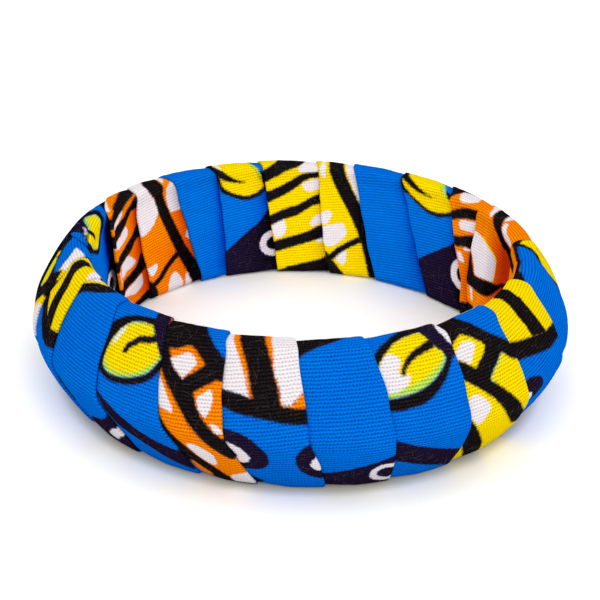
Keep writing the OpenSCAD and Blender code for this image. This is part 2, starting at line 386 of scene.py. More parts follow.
INSIDE[10] = [
    patch("orange", (140, -4), (175, -4), (172, 26), (142, 26), (143, 8)),
    blob("white", (148.4, 4.7), (148.5, 3.5), (150, 2.9), (153, 2.7), (156, 3.1), (160, 3.8),
         (158.6, 4.3), (155, 4.7), (151, 5.2), (149, 5.6)),
    blob("white", (151.7, 8.5), (154, 8), (157, 7.9), (159.5, 7.3), (160.6, 7.7), (160.5, 9),
         (159.5, 9.8), (156.5, 10.4), (154.5, 10), (153, 9.4)),
    blob("white", (162.4, 6.7), (163.4, 8), (164.4, 10), (163.3, 9.9), (162.6, 8.4)),
    blob("white", (155.4, 14.5), (158, 13.5), (161.5, 13), (164, 13.7), (166.5, 14.3),
         (162.5, 14.5), (160, 14.9), (157.5, 15.8), (156, 15.8)),
    blob("white", (158.2, 18.7), (161, 17.6), (163.5, 17), (165, 17.5), (162, 18.4), (159, 19.1)),
    blob("white", (159, 22.5), (160.4, 21.9), (162.2, 21.2), (163.4, 20.6), (164.6, 20.4),
         (164, 21.4), (161, 22.8)),
    patch("black", (144, -4), (175, -4), (158, -0.4), (153.5, 1), (150, 1.2), (146.2, 1.7),
          (144, 2)),
    blob("black", (145, 6.8), (149.5, 5.7), (153, 5.1), (157, 4.8), (160.5, 4), (165, 3.6),
         (166, 5.6), (163, 6.1), (158, 6.7), (155, 7), (152, 7.5), (150, 8.4), (148.6, 9.3),
         (145.5, 9.4)),
    blob("black", (147, 13), (151, 12.4), (153.5, 11.1), (156, 10.6), (160, 9.8), (163.8, 9.6),
         (167, 9.6), (168, 11.8), (163.5, 11.6), (160, 11.9), (156, 12.9), (153, 13.6),
         (150.8, 14.8), (148, 15.3)),
    blob("black", (149, 18.2), (152.8, 18), (154, 17.5), (155.6, 16.7), (157, 16), (160, 15.2),
         (163, 14.6), (168, 14.3), (169, 16.4), (163.8, 17), (161.5, 17.4), (159, 17.7),
         (157, 18.1), (155, 18.9), (153, 19.3), (151.2, 20), (149, 20.3)),
    blob("black", (147, 22.6), (147.6, 21.6), (150, 20.8), (152.6, 20.2), (154.8, 19.9),
         (158, 19.2), (162.2, 18.4), (165, 17.8), (169, 18), (168, 19.2), (163.7, 19.8),
         (161.8, 20.5), (160, 20.9), (156.3, 21.7), (152.8, 22.7), (150.4, 23.8), (149.4, 26),
         (145.4, 26)),
]
INSIDE[11] = [
    patch("aubergine", (158, -4), (188, -4), (180, 4.5), (171, 9.2), (165, 12), (160, 12)),
    ring("white", (166, 7.6), 2.5, 1.25),
    patch("black", (150, 27), (150, 22), (163.4, 21.4), (161.8, 22.5), (160.4, 23.3), (161, 24.2),
          (162.4, 25.6), (162.6, 27)),
    blob("black", (164.6, 22.2), (166.2, 21.2), (167.6, 20.2), (169.5, 18.8), (172.4, 17.8),
         (173.4, 16.4), (176, 15.6), (180, 16.5), (184, 17.7), (189, 19), (194, 20.4), (188, 20.8),
         (184, 20.6), (180, 21.2), (176.8, 22.4), (174, 23.6), (171, 24.4), (168, 24.2),
         (165.4, 23.2)),
    blob("green", (167.7, 21.9), (169, 20.9), (170.6, 20), (173.2, 18.8), (174.5, 17.4),
         (176.4, 16.7), (182, 18), (186.2, 19.1), (186.8, 20.2), (184.6, 21), (178, 21.3),
         (173.4, 22.6), (170.8, 23), (168.8, 22.5)),
    blob("yellow", (168.9, 21.6), (170, 20.9), (171.6, 20.2), (173.4, 18.9), (174.8, 17.7),
         (176.7, 17.1), (182, 18.3), (185.4, 19.2), (186, 20.2), (184.4, 20.7), (179.6, 20.7),
         (177, 20.9), (175, 21.3), (173, 21.9), (171.4, 22.3), (169.8, 22.1)),
    blob("black", (178.6, 21.2), (180.6, 21.1), (181.2, 20.2), (180.6, 19.3), (179.2, 19.2),
         (178.8, 20.2)),
    stroke("black", (0.5, 0.5), (179, 21.2), (183, 21), (186, 20.8), (189, 19.6)),
    blob("aubergine", (172.2, 25.6), (174.2, 23.6), (176.4, 22), (179, 21.2), (182, 21.3),
         (186, 21.6), (188, 23), (186, 28), (176, 28)),
    stroke("white", (0.3, 0.5), (177, 22.1), (178.6, 21.65), (180.2, 21.4), (181.8, 21.3)),
    patch("blue", (181, 24.4), (180.4, 23.4), (180.4, 22.5), (181.8, 21.8), (185, 21.4),
          (192, 21.3), (192, 24), (188, 27), (184, 26.6)),
]
INSIDE[22] = [
    blob("orange", (339, 27), (341, 19), (345, 15.6), (352, 14), (360, 13.4), (360, 27)),
]
INSIDE[23] = [
    patch("orange", (335, 12.4), (342, 12.8), (348, 12.4), (354, 11.2), (360, 9.6), (372, 7),
          (372, 26), (335, 26)),
    patch("black", (335, 16.6), (372, 17), (372, 18.6), (335, 18.4)),
    patch("black", (335, 20), (362, 20), (366, 22), (335, 24)),
]
OUTSIDE[11] = [
    patch("black", (172.6, 22), (174.4, 28), (177, 34), (181, 37), (192, 37), (192, 20), (176, 20)),
    patch("aubergine", (160, 36.6), (176, 38.4), (190, 42), (190, 46), (172, 43), (160, 41)),
]
OUTSIDE[12] = [
    patch("yellow", (195.6, 24.6), (200, 24), (203, 28), (197.4, 28), (196, 26.4)),
    patch("black", (170, 23), (184, 23.4), (188, 25), (190.5, 26.6), (193.2, 27.2), (195, 26.4),
          (198, 25), (198, 31.2), (193, 32.4), (189, 34.6), (184, 40), (172, 36)),
    blob("green", (181.5, 28.5), (184.5, 27.4), (188.5, 26.4), (191, 28.4), (190.4, 30.6),
         (187.5, 31.8), (184, 32)),
    blob("yellow", (185.6, 28.2), (186.8, 26.9), (188.4, 26.5), (190.3, 27.5), (191.6, 29),
         (190.6, 30.3), (188.4, 30.9), (186.4, 29.8)),
    stroke("yellow", (0.5, 0.9), (180.5, 28), (183, 27), (186.5, 26)),
    patch("yellow", (188.6, 35.4), (190.6, 33.6), (193.4, 31.9), (195, 30.8), (198, 30.4),
          (198, 32.4), (194.6, 32.4), (192.4, 33.8), (191, 35.6)),
    patch("white", (190, 36.4), (191.4, 34.6), (193.4, 33.1), (195.2, 32.2), (198, 32), (198, 37),
          (190, 37.5)),
    patch("white", (190.4, 22.4), (192, 21.9), (194.8, 21.3), (200, 21.4), (203, 24), (201, 25),
          (197.8, 25.2), (196, 25.4), (195.8, 24.4), (195.2, 23.6), (193, 22.9)),
]
OUTSIDE[13] = [
    patch("black", (186, 29.2), (198, 29.4), (200, 30.1), (203, 31.2), (207, 31.8), (211.5, 31.6),
          (212, 34), (208, 34.8), (205, 34.4), (202, 33.5), (199, 32.4), (196.4, 31.8),
          (190, 31.4)),
    patch("yellow", (192, 20.3), (214, 20.2), (212, 23), (211.5, 31.5), (208, 32), (203.3, 31),
          (200, 30.1), (197, 29.1), (194, 29), (192, 25)),
    patch("white", (204.8, 20.3), (210.8, 20.4), (210.8, 21.8), (209, 22.9), (206.3, 21.7)),
    patch("black", (197.8, 23.1), (196.6, 21.9), (197.1, 21.3), (199.3, 20.8), (203.3, 20.8),
          (201.6, 21.6), (202.4, 22.4), (203.6, 23.4), (204.9, 24.4), (205.8, 26), (206.2, 28),
          (207, 30), (207.9, 32.2), (203.2, 31.4), (202.6, 30.4), (202, 29.4), (201.7, 28.2),
          (201.5, 26.8), (200.9, 25.5), (200.1, 24.2)),
]
OUTSIDE[14] = [
    patch("black", (208.5, 24.6), (209.8, 23.3), (211, 21.8), (213, 21), (214, 20), (219.2, 19.8),
          (218.6, 21.5), (217.5, 22.8), (215.5, 23.6), (213.6, 24.1), (211.8, 24.6), (210.3, 25.6)),
    patch("yellow", (206, 20), (213.5, 20), (213.8, 20.9), (211, 22.1), (209.8, 23), (206, 23)),
    patch("white", (205, 20), (210.6, 20), (210.4, 21.6), (208, 22.6)),
    patch("aubergine", (210, 39), (212.4, 38.2), (214.5, 37.6), (218, 41), (215, 42.4), (210, 42)),
    patch("aubergine", (219.4, 44.6), (220.6, 43.4), (224, 41.7), (228, 40.4), (229.6, 39.6),
          (230.6, 38.6), (236, 38), (236, 47), (226, 47.4)),
    blob("white", (226.8, 44.4), (229, 42.5), (231, 41.3), (233.4, 40.4), (233.4, 42), (231, 43.4),
         (229.4, 44.7), (227.6, 45)),
]
OUTSIDE[15] = [
    blob("black", (225.6, 26), (227.8, 24.4), (230, 23.6), (232.5, 22.9), (235, 22.6), (237, 22.4),
         (241, 25.6), (242.6, 27.4), (242.2, 29.2), (240.2, 31), (237.4, 32.1), (235, 32.6),
         (231, 33), (228, 32.5), (226, 31.6), (225, 28.6)),
    blob("green", (227.9, 28.2), (228.8, 26.4), (230.4, 25), (232.4, 24.1), (234.8, 23.8),
         (237.4, 24), (239.6, 25.5), (241.4, 27.2), (240.9, 28.7), (239.4, 30.1), (237.2, 31),
         (235, 31.6), (232, 32), (229.4, 31.9), (227.8, 31)),
    blob("yellow", (228.3, 28.2), (228.8, 27), (229.6, 26), (230.9, 25.1), (232.6, 24.5),
         (235, 24.1), (236.6, 23.8), (237.9, 24.7), (239.4, 25.8), (240.7, 26.7), (240.9, 27.4),
         (240.3, 28.3), (238.9, 29.3), (237, 30.3), (235, 30.9), (232, 31.3), (229.6, 31.2),
         (228.3, 30.6), (227.8, 29.5)),
    blob("white", (228.7, 27.9), (228.8, 27), (229.5, 26), (230.6, 25.1), (230.7, 25.7),
         (229.9, 26.7), (229.3, 27.8)),
    stroke("black", (1.15, 0.9), (239, 25.4), (237.2, 25.8), (235.4, 26.1), (234.3, 26.8),
           (233.2, 27.4), (232.7, 28.2)),
    patch("aubergine", (233.4, 20), (235.5, 22), (237.5, 24), (239.3, 25.7), (241.2, 27.4),
          (243, 27), (241.5, 24), (239.4, 21.6), (238, 20)),
    patch("orange", (238, 20), (240, 20), (240.6, 21.8), (239.8, 22.2)),
    patch("white", (238.7, 20.3), (239.6, 20.4), (239.9, 21.3)),
    patch("aubergine", (225, 34.6), (228.3, 35.1), (232, 36.3), (235, 37.2), (238, 38.4),
          (241, 39.4), (244, 40.2), (250, 40.7), (252, 46), (248.5, 45.4), (244, 44.2), (241, 42.9),
          (238, 41.8), (235, 40.9), (232.3, 40.1), (230.5, 38.2), (229, 36.2)),
]
OUTSIDE[16] = [
    patch("black", (238, 19), (258, 19), (258, 36), (262, 47.5), (254, 47.5), (250, 45.6),
          (240, 34), (240, 26)),
    patch("blue", (247.4, 20), (258, 20), (255.1, 25.8), (252, 24), (250, 22.6)),
    patch("orange", (242.6, 26), (244.4, 25.7), (246.4, 25.1), (247.4, 24.9), (249.2, 25.7),
          (251.2, 27), (249.2, 28.2), (247.4, 29.3), (245.4, 28.4), (243.6, 27)),
    patch("white", (243.4, 27.2), (245, 26.6), (247, 25.9), (248.4, 26.2), (249.4, 27), (248.6, 28),
          (247.2, 29.4), (245.2, 28.5)),
    patch("orange", (240.5, 28), (242, 29), (243.5, 30.2), (246, 32), (248, 33.6), (250, 35.2),
          (252, 36.4), (254, 37.8), (255.8, 38.9), (257.4, 39.7), (261, 40), (264, 46), (257.4, 46),
          (256, 44.9), (254, 43.2), (252.5, 42.1), (250.5, 40.7), (249, 39.3), (247, 37.9),
          (245, 36.1), (243, 34.4), (240, 33)),
    blob("white", (241.6, 30), (242.8, 30.4), (244.5, 32), (246.4, 33.8), (245.5, 34.1),
         (243.2, 33.6), (241.4, 32.4)),
    blob("white", (249.3, 39), (250, 38.2), (252, 38.5), (253.8, 39.3), (254.6, 40.5),
         (254.3, 42.3), (252.5, 41.8), (250.8, 40.6)),
    blob("white", (257, 44.8), (258.4, 43.9), (259.8, 43.3), (262, 43.4), (262.5, 46),
         (257.4, 46.4)),
    blob("orange", (248.8, 43), (250.5, 44), (252.5, 45.5), (252, 46.5), (249.5, 45.2)),
    patch("orange", (250, 30.8), (252, 29.8), (254, 28.8), (257, 28.9), (257.4, 36.4),
          (254.5, 35.3), (252.5, 33.9), (251, 32.4)),
    blob("white", (251, 31.6), (252, 30.7), (253.3, 30.1), (254, 31), (253.8, 32.5), (253, 33.6),
         (252, 33.3)),
    patch("white", (254.1, 34.4), (255.7, 34.6), (256.6, 35.5), (255, 35.5)),
]
OUTSIDE[17] = [
    patch("black", (250, 28), (274, 28), (274, 33.4), (267.9, 33.4), (264.7, 33.1), (261.5, 32.8),
          (258.4, 32.6), (255.8, 32), (252, 31)),
    patch("white", (250, 20), (254.6, 20), (255.8, 22.5), (257.1, 24.2), (258.4, 25.8),
          (259.5, 27.4), (260.3, 29), (260.8, 30.3), (259.3, 30), (257.4, 29.8), (252, 29.5)),
    patch("orange", (254.4, 20), (255.5, 20), (256.8, 22.3), (258, 24), (259.2, 25.6),
          (260.1, 27.3), (260.8, 28.8), (261.5, 30.2), (260.6, 30.4), (260, 29), (259.2, 27.4),
          (258.1, 25.8), (256.8, 24.2), (255.5, 22.5)),
    patch("black", (255.6, 19), (261.5, 19), (262.5, 22.2), (263.6, 24), (264.6, 25.6), (265.2, 27),
          (266, 28.6), (267, 31), (261.4, 30.4), (260.7, 28.8), (260.1, 27.4), (259.2, 25.7),
          (258, 24.1), (256.8, 22.4)),
    patch("orange", (261.4, 19), (263.5, 19), (263.9, 22.2), (264.6, 23.8), (265, 25.4),
          (265.3, 27), (266.2, 28.2), (266.7, 29.3), (267.5, 31.2), (266.9, 31), (266, 28.6),
          (265.2, 27), (264.6, 25.6), (263.6, 24), (262.5, 22.2)),
    patch("white", (263.4, 19), (272, 19), (272, 29), (270.3, 29.6), (269.3, 30.4), (268.4, 31),
          (267.4, 31.1), (266.6, 29.3), (266.2, 28.2), (265.3, 27), (265, 25.4), (264.6, 23.8),
          (263.9, 22.2)),
    patch("orange", (273, 28.4), (271, 28.9), (270.3, 29.6), (269.3, 30.5), (267.9, 31.1),
          (270, 31.3), (273, 31)),
    blob("aubergine", (254.6, 35), (256.3, 34.8), (258, 34.9), (259.6, 35.1), (261.5, 35.7),
         (263.1, 36.6), (264.5, 37.8), (265, 39.2), (264.7, 40.6), (263.7, 41.7), (262.4, 42.3),
         (260, 42.6), (256, 42)),
    blob("white", (257, 36.7), (258.4, 37.1), (259.7, 37.6), (260.7, 38.4), (261.3, 39.3),
         (261.1, 40.2), (260.3, 40.9), (259.1, 41), (258.6, 40.3), (258.9, 39.3), (258.3, 38.4),
         (257.4, 37.6)),
    blob("aubergine", (275, 35), (272.8, 35.6), (271.3, 36.4), (270.3, 37.3), (269.8, 38.4),
         (269.9, 39.5), (270.5, 41), (271.6, 42.2), (273.3, 43.1), (276, 43.4), (277.5, 40)),
    blob("white", (274.5, 38), (273.3, 38.4), (272.7, 39.2), (272.6, 40), (273.2, 40.8),
         (274.8, 41.3), (275.6, 39.6)),
    patch("aubergine", (259.8, 44), (260.7, 44.4), (262, 44.9), (263.6, 45.7), (262, 47),
          (259, 47)),
]
OUTSIDE[18] = [
    patch("black", (266, 19), (281.5, 19), (280.4, 20.8), (278.4, 21.6), (276.2, 22.4), (273.9, 23),
          (272.3, 23.6), (271, 24.1), (269.9, 24.8), (267, 24.8)),
    patch("aubergine", (272, 43.2), (275.4, 42.8), (278.4, 42.2), (280, 41.7), (282.2, 41),
          (283.8, 40.6), (285.4, 40.2), (287, 39.5), (288.2, 39), (292, 38), (292, 48), (280, 49.4),
          (273, 48)),
    ring("white", (288.2, 43.4), 2.5, 1.5),
]
OUTSIDE[19] = [
    blob("black", (282, 27), (284, 25.4), (285.5, 24.6), (287.2, 23.4), (288.8, 22.6),
         (290.4, 21.8), (291.9, 21.2), (293.5, 20.8), (296, 20.4), (298.6, 20.8), (300.4, 24),
         (303, 25.8), (302.4, 26.8), (301.5, 27.8), (300.5, 28.7), (299.3, 29.7), (297.7, 30.6),
         (296.1, 31.4), (294.2, 32), (291.9, 32.3), (289.7, 32.5), (287.3, 32.4), (284, 32),
         (282, 29)),
    blob("green", (285.2, 28), (286, 26.4), (287.6, 24.9), (290, 23.5), (292.4, 22.7),
         (294.8, 22.3), (297.4, 22.2), (298.7, 24.4), (300.4, 26), (300.8, 26.7), (300.3, 27.3),
         (299, 28.2), (297, 29.2), (294.5, 30), (291.4, 30.5), (287.4, 30.7), (285, 30.2)),
    blob("yellow", (285, 28), (286.4, 26), (287.7, 24.8), (290.1, 23.6), (292.4, 22.9),
         (294.8, 22.5), (297.2, 22.4), (297.8, 23.6), (298.8, 24.8), (299.6, 25.5), (300.1, 26.2),
         (299.5, 26.9), (298, 27.6), (296, 28.4), (293.8, 29), (291, 29.5), (287, 29.9),
         (285, 29.5)),
    blob("white", (284.6, 28), (286.4, 26.1), (287.5, 25.1), (288.9, 24.9), (290.2, 25.3),
         (290.6, 26), (290.2, 26.7), (289.8, 27.4), (290.6, 28), (291.8, 27.9), (292.2, 28.2),
         (291.6, 29), (290.4, 29.6), (288.6, 30), (285, 30)),
    stroke("black", (1.3, 0.7), (298.2, 24.5), (295.4, 25), (293.2, 25.7), (291.7, 26.6),
           (290.8, 27.6)),
    patch("aubergine", (297.8, 19), (297.3, 22.4), (297.6, 23.6), (298.3, 24.4), (299.3, 25),
          (300.4, 25.8), (301.4, 26.8), (303.6, 26.8), (303.3, 25.6), (302.7, 25), (302, 24.4),
          (301.4, 23.2), (301.7, 22), (302.6, 21), (303.6, 20), (303.6, 19)),
    patch("white", (303.4, 19.4), (308, 19.4), (305.4, 20.9), (304, 22.2), (303.6, 23.3),
          (303.6, 25.2), (302.7, 25), (301.8, 24.1), (301.5, 23.1), (301.8, 22), (302.4, 21)),
    patch("aubergine", (284, 35.4), (287.9, 36.4), (292, 37.8), (298, 39.7), (307, 42.4), (307, 47),
          (303, 46), (296, 43.5), (289, 41.2), (284, 39.6)),
]
OUTSIDE[20] = [
    patch("black", (300, 19), (324, 19), (324, 48), (300, 48)),
    patch("blue", (309.4, 19), (326, 19), (320, 21.8), (318.5, 28), (316.4, 26.8), (314.5, 25.9),
          (312.6, 24.9), (311, 23.9), (309.9, 22.7), (309.3, 21.4)),
    patch("yellow", (300, 27.6), (303.4, 25.5), (304.3, 25), (306.2, 24.3), (308.1, 25),
          (310.1, 26), (311.3, 26.9), (310.1, 27.8), (308.5, 28.6), (307.4, 29.3), (306.2, 28.7),
          (304.7, 27.9), (303, 27.2)),
    blob("white", (303.2, 26.9), (304.7, 26), (306.2, 25.5), (308, 25.6), (308.7, 26.3),
         (308.1, 27), (307.2, 27.8), (306.4, 28.4), (304.8, 27.8)),
    patch("yellow", (300, 28.4), (303.7, 30.3), (306.2, 31.7), (308.1, 32.9), (310.1, 34.3),
          (312, 36.1), (313.9, 37.8), (315.8, 39.3), (317.7, 40.7), (320, 42.2), (324, 43),
          (322, 49), (314, 47), (313.2, 45.4), (312, 43.8), (310.4, 42.2), (308.8, 40.6),
          (307.2, 39), (305.6, 37.4), (303.6, 35.6), (300, 34)),
    blob("white", (304, 34), (304.9, 32.9), (306.2, 32.9), (307.8, 33.8), (309, 34.9),
         (308.7, 35.5), (307.5, 36.6), (306.4, 37.4), (305.2, 36.7), (304.1, 35.6)),
    patch("yellow", (302, 40), (304.3, 41.3), (305.6, 43), (306.9, 44.4), (308.4, 46.4), (303, 47)),
    patch("green", (310, 31.5), (311.5, 30.4), (313.1, 29.6), (314.8, 28.7), (315.8, 29.2),
          (313.5, 30.3), (311.4, 31.6), (311.2, 32.4)),
    patch("yellow", (310.6, 31.5), (311.7, 30.8), (313.3, 30), (314.8, 29.1), (315.8, 29.4),
          (317.4, 30.3), (321, 31.4), (323, 40), (321.6, 39.6), (319.6, 38.3), (317.7, 36.8),
          (315.8, 35.4), (313.9, 34), (312, 32.7)),
]
OUTSIDE[21] = [
    patch("yellow", (316, 19), (341, 19), (339.4, 21.2), (338.5, 23), (339.5, 30.6), (332.8, 30.4),
          (326.6, 29.4), (316, 28)),
    patch("black", (325.2, 19), (331.3, 19), (331.1, 21.5), (330, 22.4), (329.3, 23.3),
          (329.7, 24.7), (330.5, 26.1), (331.3, 27.4), (331.9, 28.8), (332.9, 30.6), (326.6, 29.4),
          (325.9, 27.4), (325.2, 26.3), (324.7, 25.2), (324.3, 24), (324.4, 23.1), (325.2, 22)),
    patch("black", (316, 28), (318.9, 28.1), (323.3, 28.8), (326.6, 29.2), (332.8, 30.2),
          (339, 30.4), (339, 32.7), (331.9, 32.8), (329.3, 32.4), (326.8, 32), (324.3, 31.7),
          (321.7, 31.3), (319.5, 31.1), (316, 30.8)),
    blob("aubergine", (317, 34.6), (320.4, 34.3), (322.4, 34.3), (324.3, 34.7), (326, 35.3),
         (326.7, 36.6), (325.9, 37.6), (324.6, 38.3), (323.1, 38.6), (318, 39)),
    blob("white", (318, 36.8), (320.8, 36.5), (321.7, 36.5), (322.7, 37.1), (323.1, 37.8),
         (322.3, 38.5), (319, 38.6)),
]
OUTSIDE[22] = [
    patch("orange", (341, 19), (354, 19), (354, 20.6), (343, 20.8)),
    # This black line under the orange strip is painted shadow, not print
    stroke("black", (1.1, 1.1), (342, 20.9), (347, 20.75), (354, 20.7)),
    patch("black", (334, 22.8), (336, 20.6), (338, 19), (346, 19), (344.9, 20.6), (343.6, 21.3),
          (342.1, 21.8), (340.1, 22.4), (337.6, 22.9)),
]
OUTSIDE[23] = [
    patch("black", (340, 19), (354, 19), (355.6, 20.9), (347, 21.2)),
    # This black line under the orange strip is painted shadow along the gap, not print
    stroke("black", (0.7, 0.5), (344, 20.2), (354, 20.4), (357, 20.5), (360, 20.8), (362, 21.3)),
    patch("black", (359, 21.2), (357.2, 22.2), (355, 23.2), (353.6, 23.8), (353.2, 25.2),
          (353.8, 27.6), (355.8, 29.8), (358.4, 31.6), (361, 34.6), (366, 36), (370, 33), (370, 22),
          (366, 20.3), (359.6, 20.3)),
    patch("yellow", (360.6, 21.5), (362.2, 22), (362.8, 23.2), (363.1, 25), (364, 27.5), (365, 33),
          (361, 33.4), (358.6, 30.8), (356.6, 29.2), (354.8, 27.2), (354.2, 25.4), (354.6, 24.5),
          (355.8, 23.8), (357.9, 22.9), (359.6, 22.1)),
    stroke("black", (0.28, 0.22), (359, 24), (359.5, 25.6), (360.4, 28), (361, 30)),
    patch("aubergine", (356, 35), (360, 35.6), (372, 39.5), (374, 44), (362, 40.6), (357, 38)),
]

# A turn whose inside or outside faces away repeats the chart of another turn
INSIDE_LIKE = {4: 8, 12: 8, 13: 6, 14: 4, 15: 3, 16: 9, 17: 10, 18: 8, 19: 7, 20: 5, 21: 6}
OUTSIDE_LIKE = {1: 16, 2: 17, 3: 15, 4: 18, 5: 20, 6: 21, 7: 19, 8: 14, 9: 16, 10: 17}
# Distance along the section at which the outside chart takes over: in front, and on turn 11
OUTSIDE_FROM = 20.3
OUTSIDE_FROM_11 = 25.6
# At the back the borrowed outside charts lie further down, the inside charts are carried on as
# they are at their edge, and the two meet on a waving black line with this many waves a round
LAST_BACK_TURN = 10
BACK_DROP = 4
BACK_EDGE = 24.6
BACK_MEET = 26.7
BACK_WAVE = 0.7
BACK_WAVES = 13
BACK_LINE = 0.4
BACK_LINE_REACH = 0.3

# Depth of an ink in a place that it doesn't reach
NO_INK = -9.0
# How far the light inks are carried on beneath the inks laid over them, and how far they may
# reach past the edge of those
RUN_ON = {"orange": 0.25, "yellow": 0.25, "white": 0.08}
UNDERLAP = 0.12


def smooth_points(points, closed):
    """A Catmull-Rom curve through given points, four steps to a span."""
    points = np.array(points, float)
    if closed:
        ends = np.concatenate([points[-1:], points, points[:2]])
    else:
        before, after = 2 * points[:1] - points[1:2], 2 * points[-1:] - points[-2:-1]
        ends = np.concatenate([before, points, after])
    curve = []
    for a, b, c, d in zip(ends, ends[1:], ends[2:], ends[3:]):
        for t in (0, 0.25, 0.5, 0.75):
            curve.append(0.5 * (2 * b + (c - a) * t + (2 * a - 5 * b + 4 * c - d) * t * t
                                + (3 * b - a - 3 * c + d) * t ** 3))
    return np.array(curve if closed else curve + [points[-1]])


def to_segment(x, y, a, b):
    """Distance of points from a segment, and how far along it they lie."""
    run = b - a
    t = np.clip(((x - a[0]) * run[0] + (y - a[1]) * run[1]) / max(run @ run, 1e-9), 0, 1)
    return np.hypot(x - a[0] - t * run[0], y - a[1] - t * run[1]), t


def signed_distance(shape, x, y, to_mm):
    """How far points lie inside a printed shape, negative outside it."""
    kind, _, points, sizes = shape
    if kind == "ring":
        outer, inner = sizes
        (cx, cy), = to_mm(points)
        return (outer - inner) / 2 - abs(np.hypot(x - cx, y - cy) - (outer + inner) / 2)
    corners = to_mm(points if kind == "patch" else smooth_points(points, kind == "blob"))
    if kind == "stroke":
        widths = np.linspace(*sizes, len(corners))
        inside = np.full(x.shape, -np.inf)
        for a, b, w0, w1 in zip(corners, corners[1:], widths, widths[1:]):
            away, t = to_segment(x, y, a, b)
            inside = np.maximum(inside, (w0 + (w1 - w0) * t) / 2 - away)
        return inside
    nearest = np.full(x.shape, np.inf)
    within = np.zeros(x.shape, bool)
    for a, b in zip(corners, np.roll(corners, -1, axis=0)):
        nearest = np.minimum(nearest, to_segment(x, y, a, b)[0])
        if a[1] != b[1]:
            crosses = (a[1] > y) != (b[1] > y)
            within ^= crosses & (x < a[0] + (y - a[1]) * (b[0] - a[0]) / (b[1] - a[1]))
    return np.where(within, nearest, -nearest)


def printed(shapes, angle, s, shift):
    """Distance inside each ink, painted in order. A shape cuts away the inks that the material
    lays over its own; the others stay beneath it, and reach a little under its soft edge."""
    depth = {ink: np.full(s.shape, NO_INK) for ink in INKS}
    middle = float(np.mean(angle))

    def to_mm(points):
        points = np.array(points, float)
        turned = np.radians(points[:, 0] + shift - middle)
        return np.stack([turned * along(points[:, 1], SECTION_R), points[:, 1]], 1)

    x = np.radians(angle - middle) * along(s, SECTION_R)
    for shape in shapes:
        ink = shape[1]
        inside = signed_distance(shape, x, s, to_mm)
        for later in INKS[INKS.index(ink) + 1:] if ink in INKS else INKS:
            depth[later] = np.minimum(depth[later], -inside)
        if ink in INKS:
            depth[ink] = np.maximum(depth[ink], inside)
    for ink, reach in RUN_ON.items():
        over = np.max([depth[later] for later in INKS[INKS.index(ink) + 1:]], axis=0)
        depth[ink] = np.maximum(depth[ink], np.minimum(depth[ink] + reach, over + UNDERLAP))
    return np.stack([depth[ink] for ink in INKS], -1)


def panel_middle(turn):
    """Angle of the middle of a turn at the rim."""
    edges = [FOLDS[n % TURNS][AT_RIM] for n in (turn - 2, turn - 1)]
    return (edges[0] - 360 * (turn == 1) + edges[1]) / 2


def turn_print(turn, angle, s):
    """Ink distances of a whole turn: its inside chart up to the rim, then its outside chart."""
    at_back = turn <= LAST_BACK_TURN

    def chart(charts, like, s):
        source = like.get(turn, turn)
        return printed(charts.get(source, []), angle, s, panel_middle(turn) - panel_middle(source))

    inside = chart(INSIDE, INSIDE_LIKE, np.minimum(s, BACK_EDGE) if at_back else s)
    outside = chart(OUTSIDE, OUTSIDE_LIKE, s - BACK_DROP if at_back else s)
    if not at_back:
        change = OUTSIDE_FROM_11 if turn == 11 else OUTSIDE_FROM
        return np.where((s < change)[..., None], inside, outside)
    change = BACK_MEET + BACK_WAVE * np.sin(np.radians(angle) * BACK_WAVES + turn)
    inks = np.where((s < change)[..., None], inside, outside)
    motif = np.maximum(inside.max(axis=-1), outside.max(axis=-1))
    line = np.minimum(BACK_LINE - abs(s - change), motif + BACK_LINE_REACH)
    inks[..., BLACK] = np.maximum(inks[..., BLACK], line)
    return inks


# Turns of the strip

# Across a turn: how far beyond the fold before it the tucked columns lie, the width of a column
# where it shows, and the columns round its rolled fold and back beneath it
TUCKED = (-LAP_W, -LAP_W / 2, -0.28, -0.13)
VISIBLE_STEP = 0.33
ROLL_STEPS = 6
UNDER_STEPS = 5

# How quickly a turn climbs over its neighbour, and the heights above the ground between which the
# cloth comes free of the flat foot
CLIMB_POWER = 1.55
FREE_Z = (0.4, 2.9)
# A turn is a little padded in its middle, and has a soft ridge where its edge is folded under
PADDING = 0.10
HEM, HEM_AT, HEM_REACH = 0.07, 0.28, 0.7
# Height of the fine creases that are pulled aslant and of the broad sags, the width and length of
# each, and how far from the fold before they have set in
CREASE, CREASE_WIDTH, CREASE_LENGTH, CREASE_SLANT = 0.05, 1.3, 7, 0.25
SAG, SAG_WIDTH, SAG_LENGTH = 0.06, 3.2, 4
LOOSE_FROM = 1.2
# The tucked edge has sunk in full this far beyond the fold
SINK_WITHIN = 0.26
# The step between turns is lower over the rim, around this distance along the section
RIM_STEP_LOSS, RIM_AT, RIM_REACH = 0.3, 23.5, 3
# How far a fold stands off inside the hole, over which distances, and how near to its edge
PROUD = {10: 0.8}
PROUD_SPAN = (2, 5, 17.5, 20.5)
PROUD_REACH = 1.6
# The hole is a little wider from end to end: how far, and the middle and reach of each place
WIDER = ((0.5, 200, 24), (0.5, 346, 24))
WIDER_SPAN = (7, 15, 19.6, 21.8)
# The underside's lowest height above the ground, and how near points are welded
LOWEST_Z = 0.02
WELD = 0.002

# Tilt of the threads on the turns where it can be seen; on the others it varies about a mean
THREAD_TILT = {13: 0, 14: 1, 15: 0, 16: -6, 17: -10, 18: -2, 19: 0, 20: -2}
MEAN_TILT, TILT_VARIES = -6, 2
# Keeps every place in the weave above zero
THREAD_START = 40

# How dark and wide the painted shade in the pleat beside a fold is inside the hole; low down it is
# twice as wide
PLEAT_SHADE = {1: (0.35, 0.7), 7: (0.5, 1.0), 9: (0.55, 1.8), 10: (0.85, 1.2), 11: (0.95, 0.9)}
OTHER_PLEAT_SHADE = (0.45, 0.6)
PLEAT_SPAN = (-1, 2, 17.5, 20.5)
PLEAT_WIDENS = (12, 7)
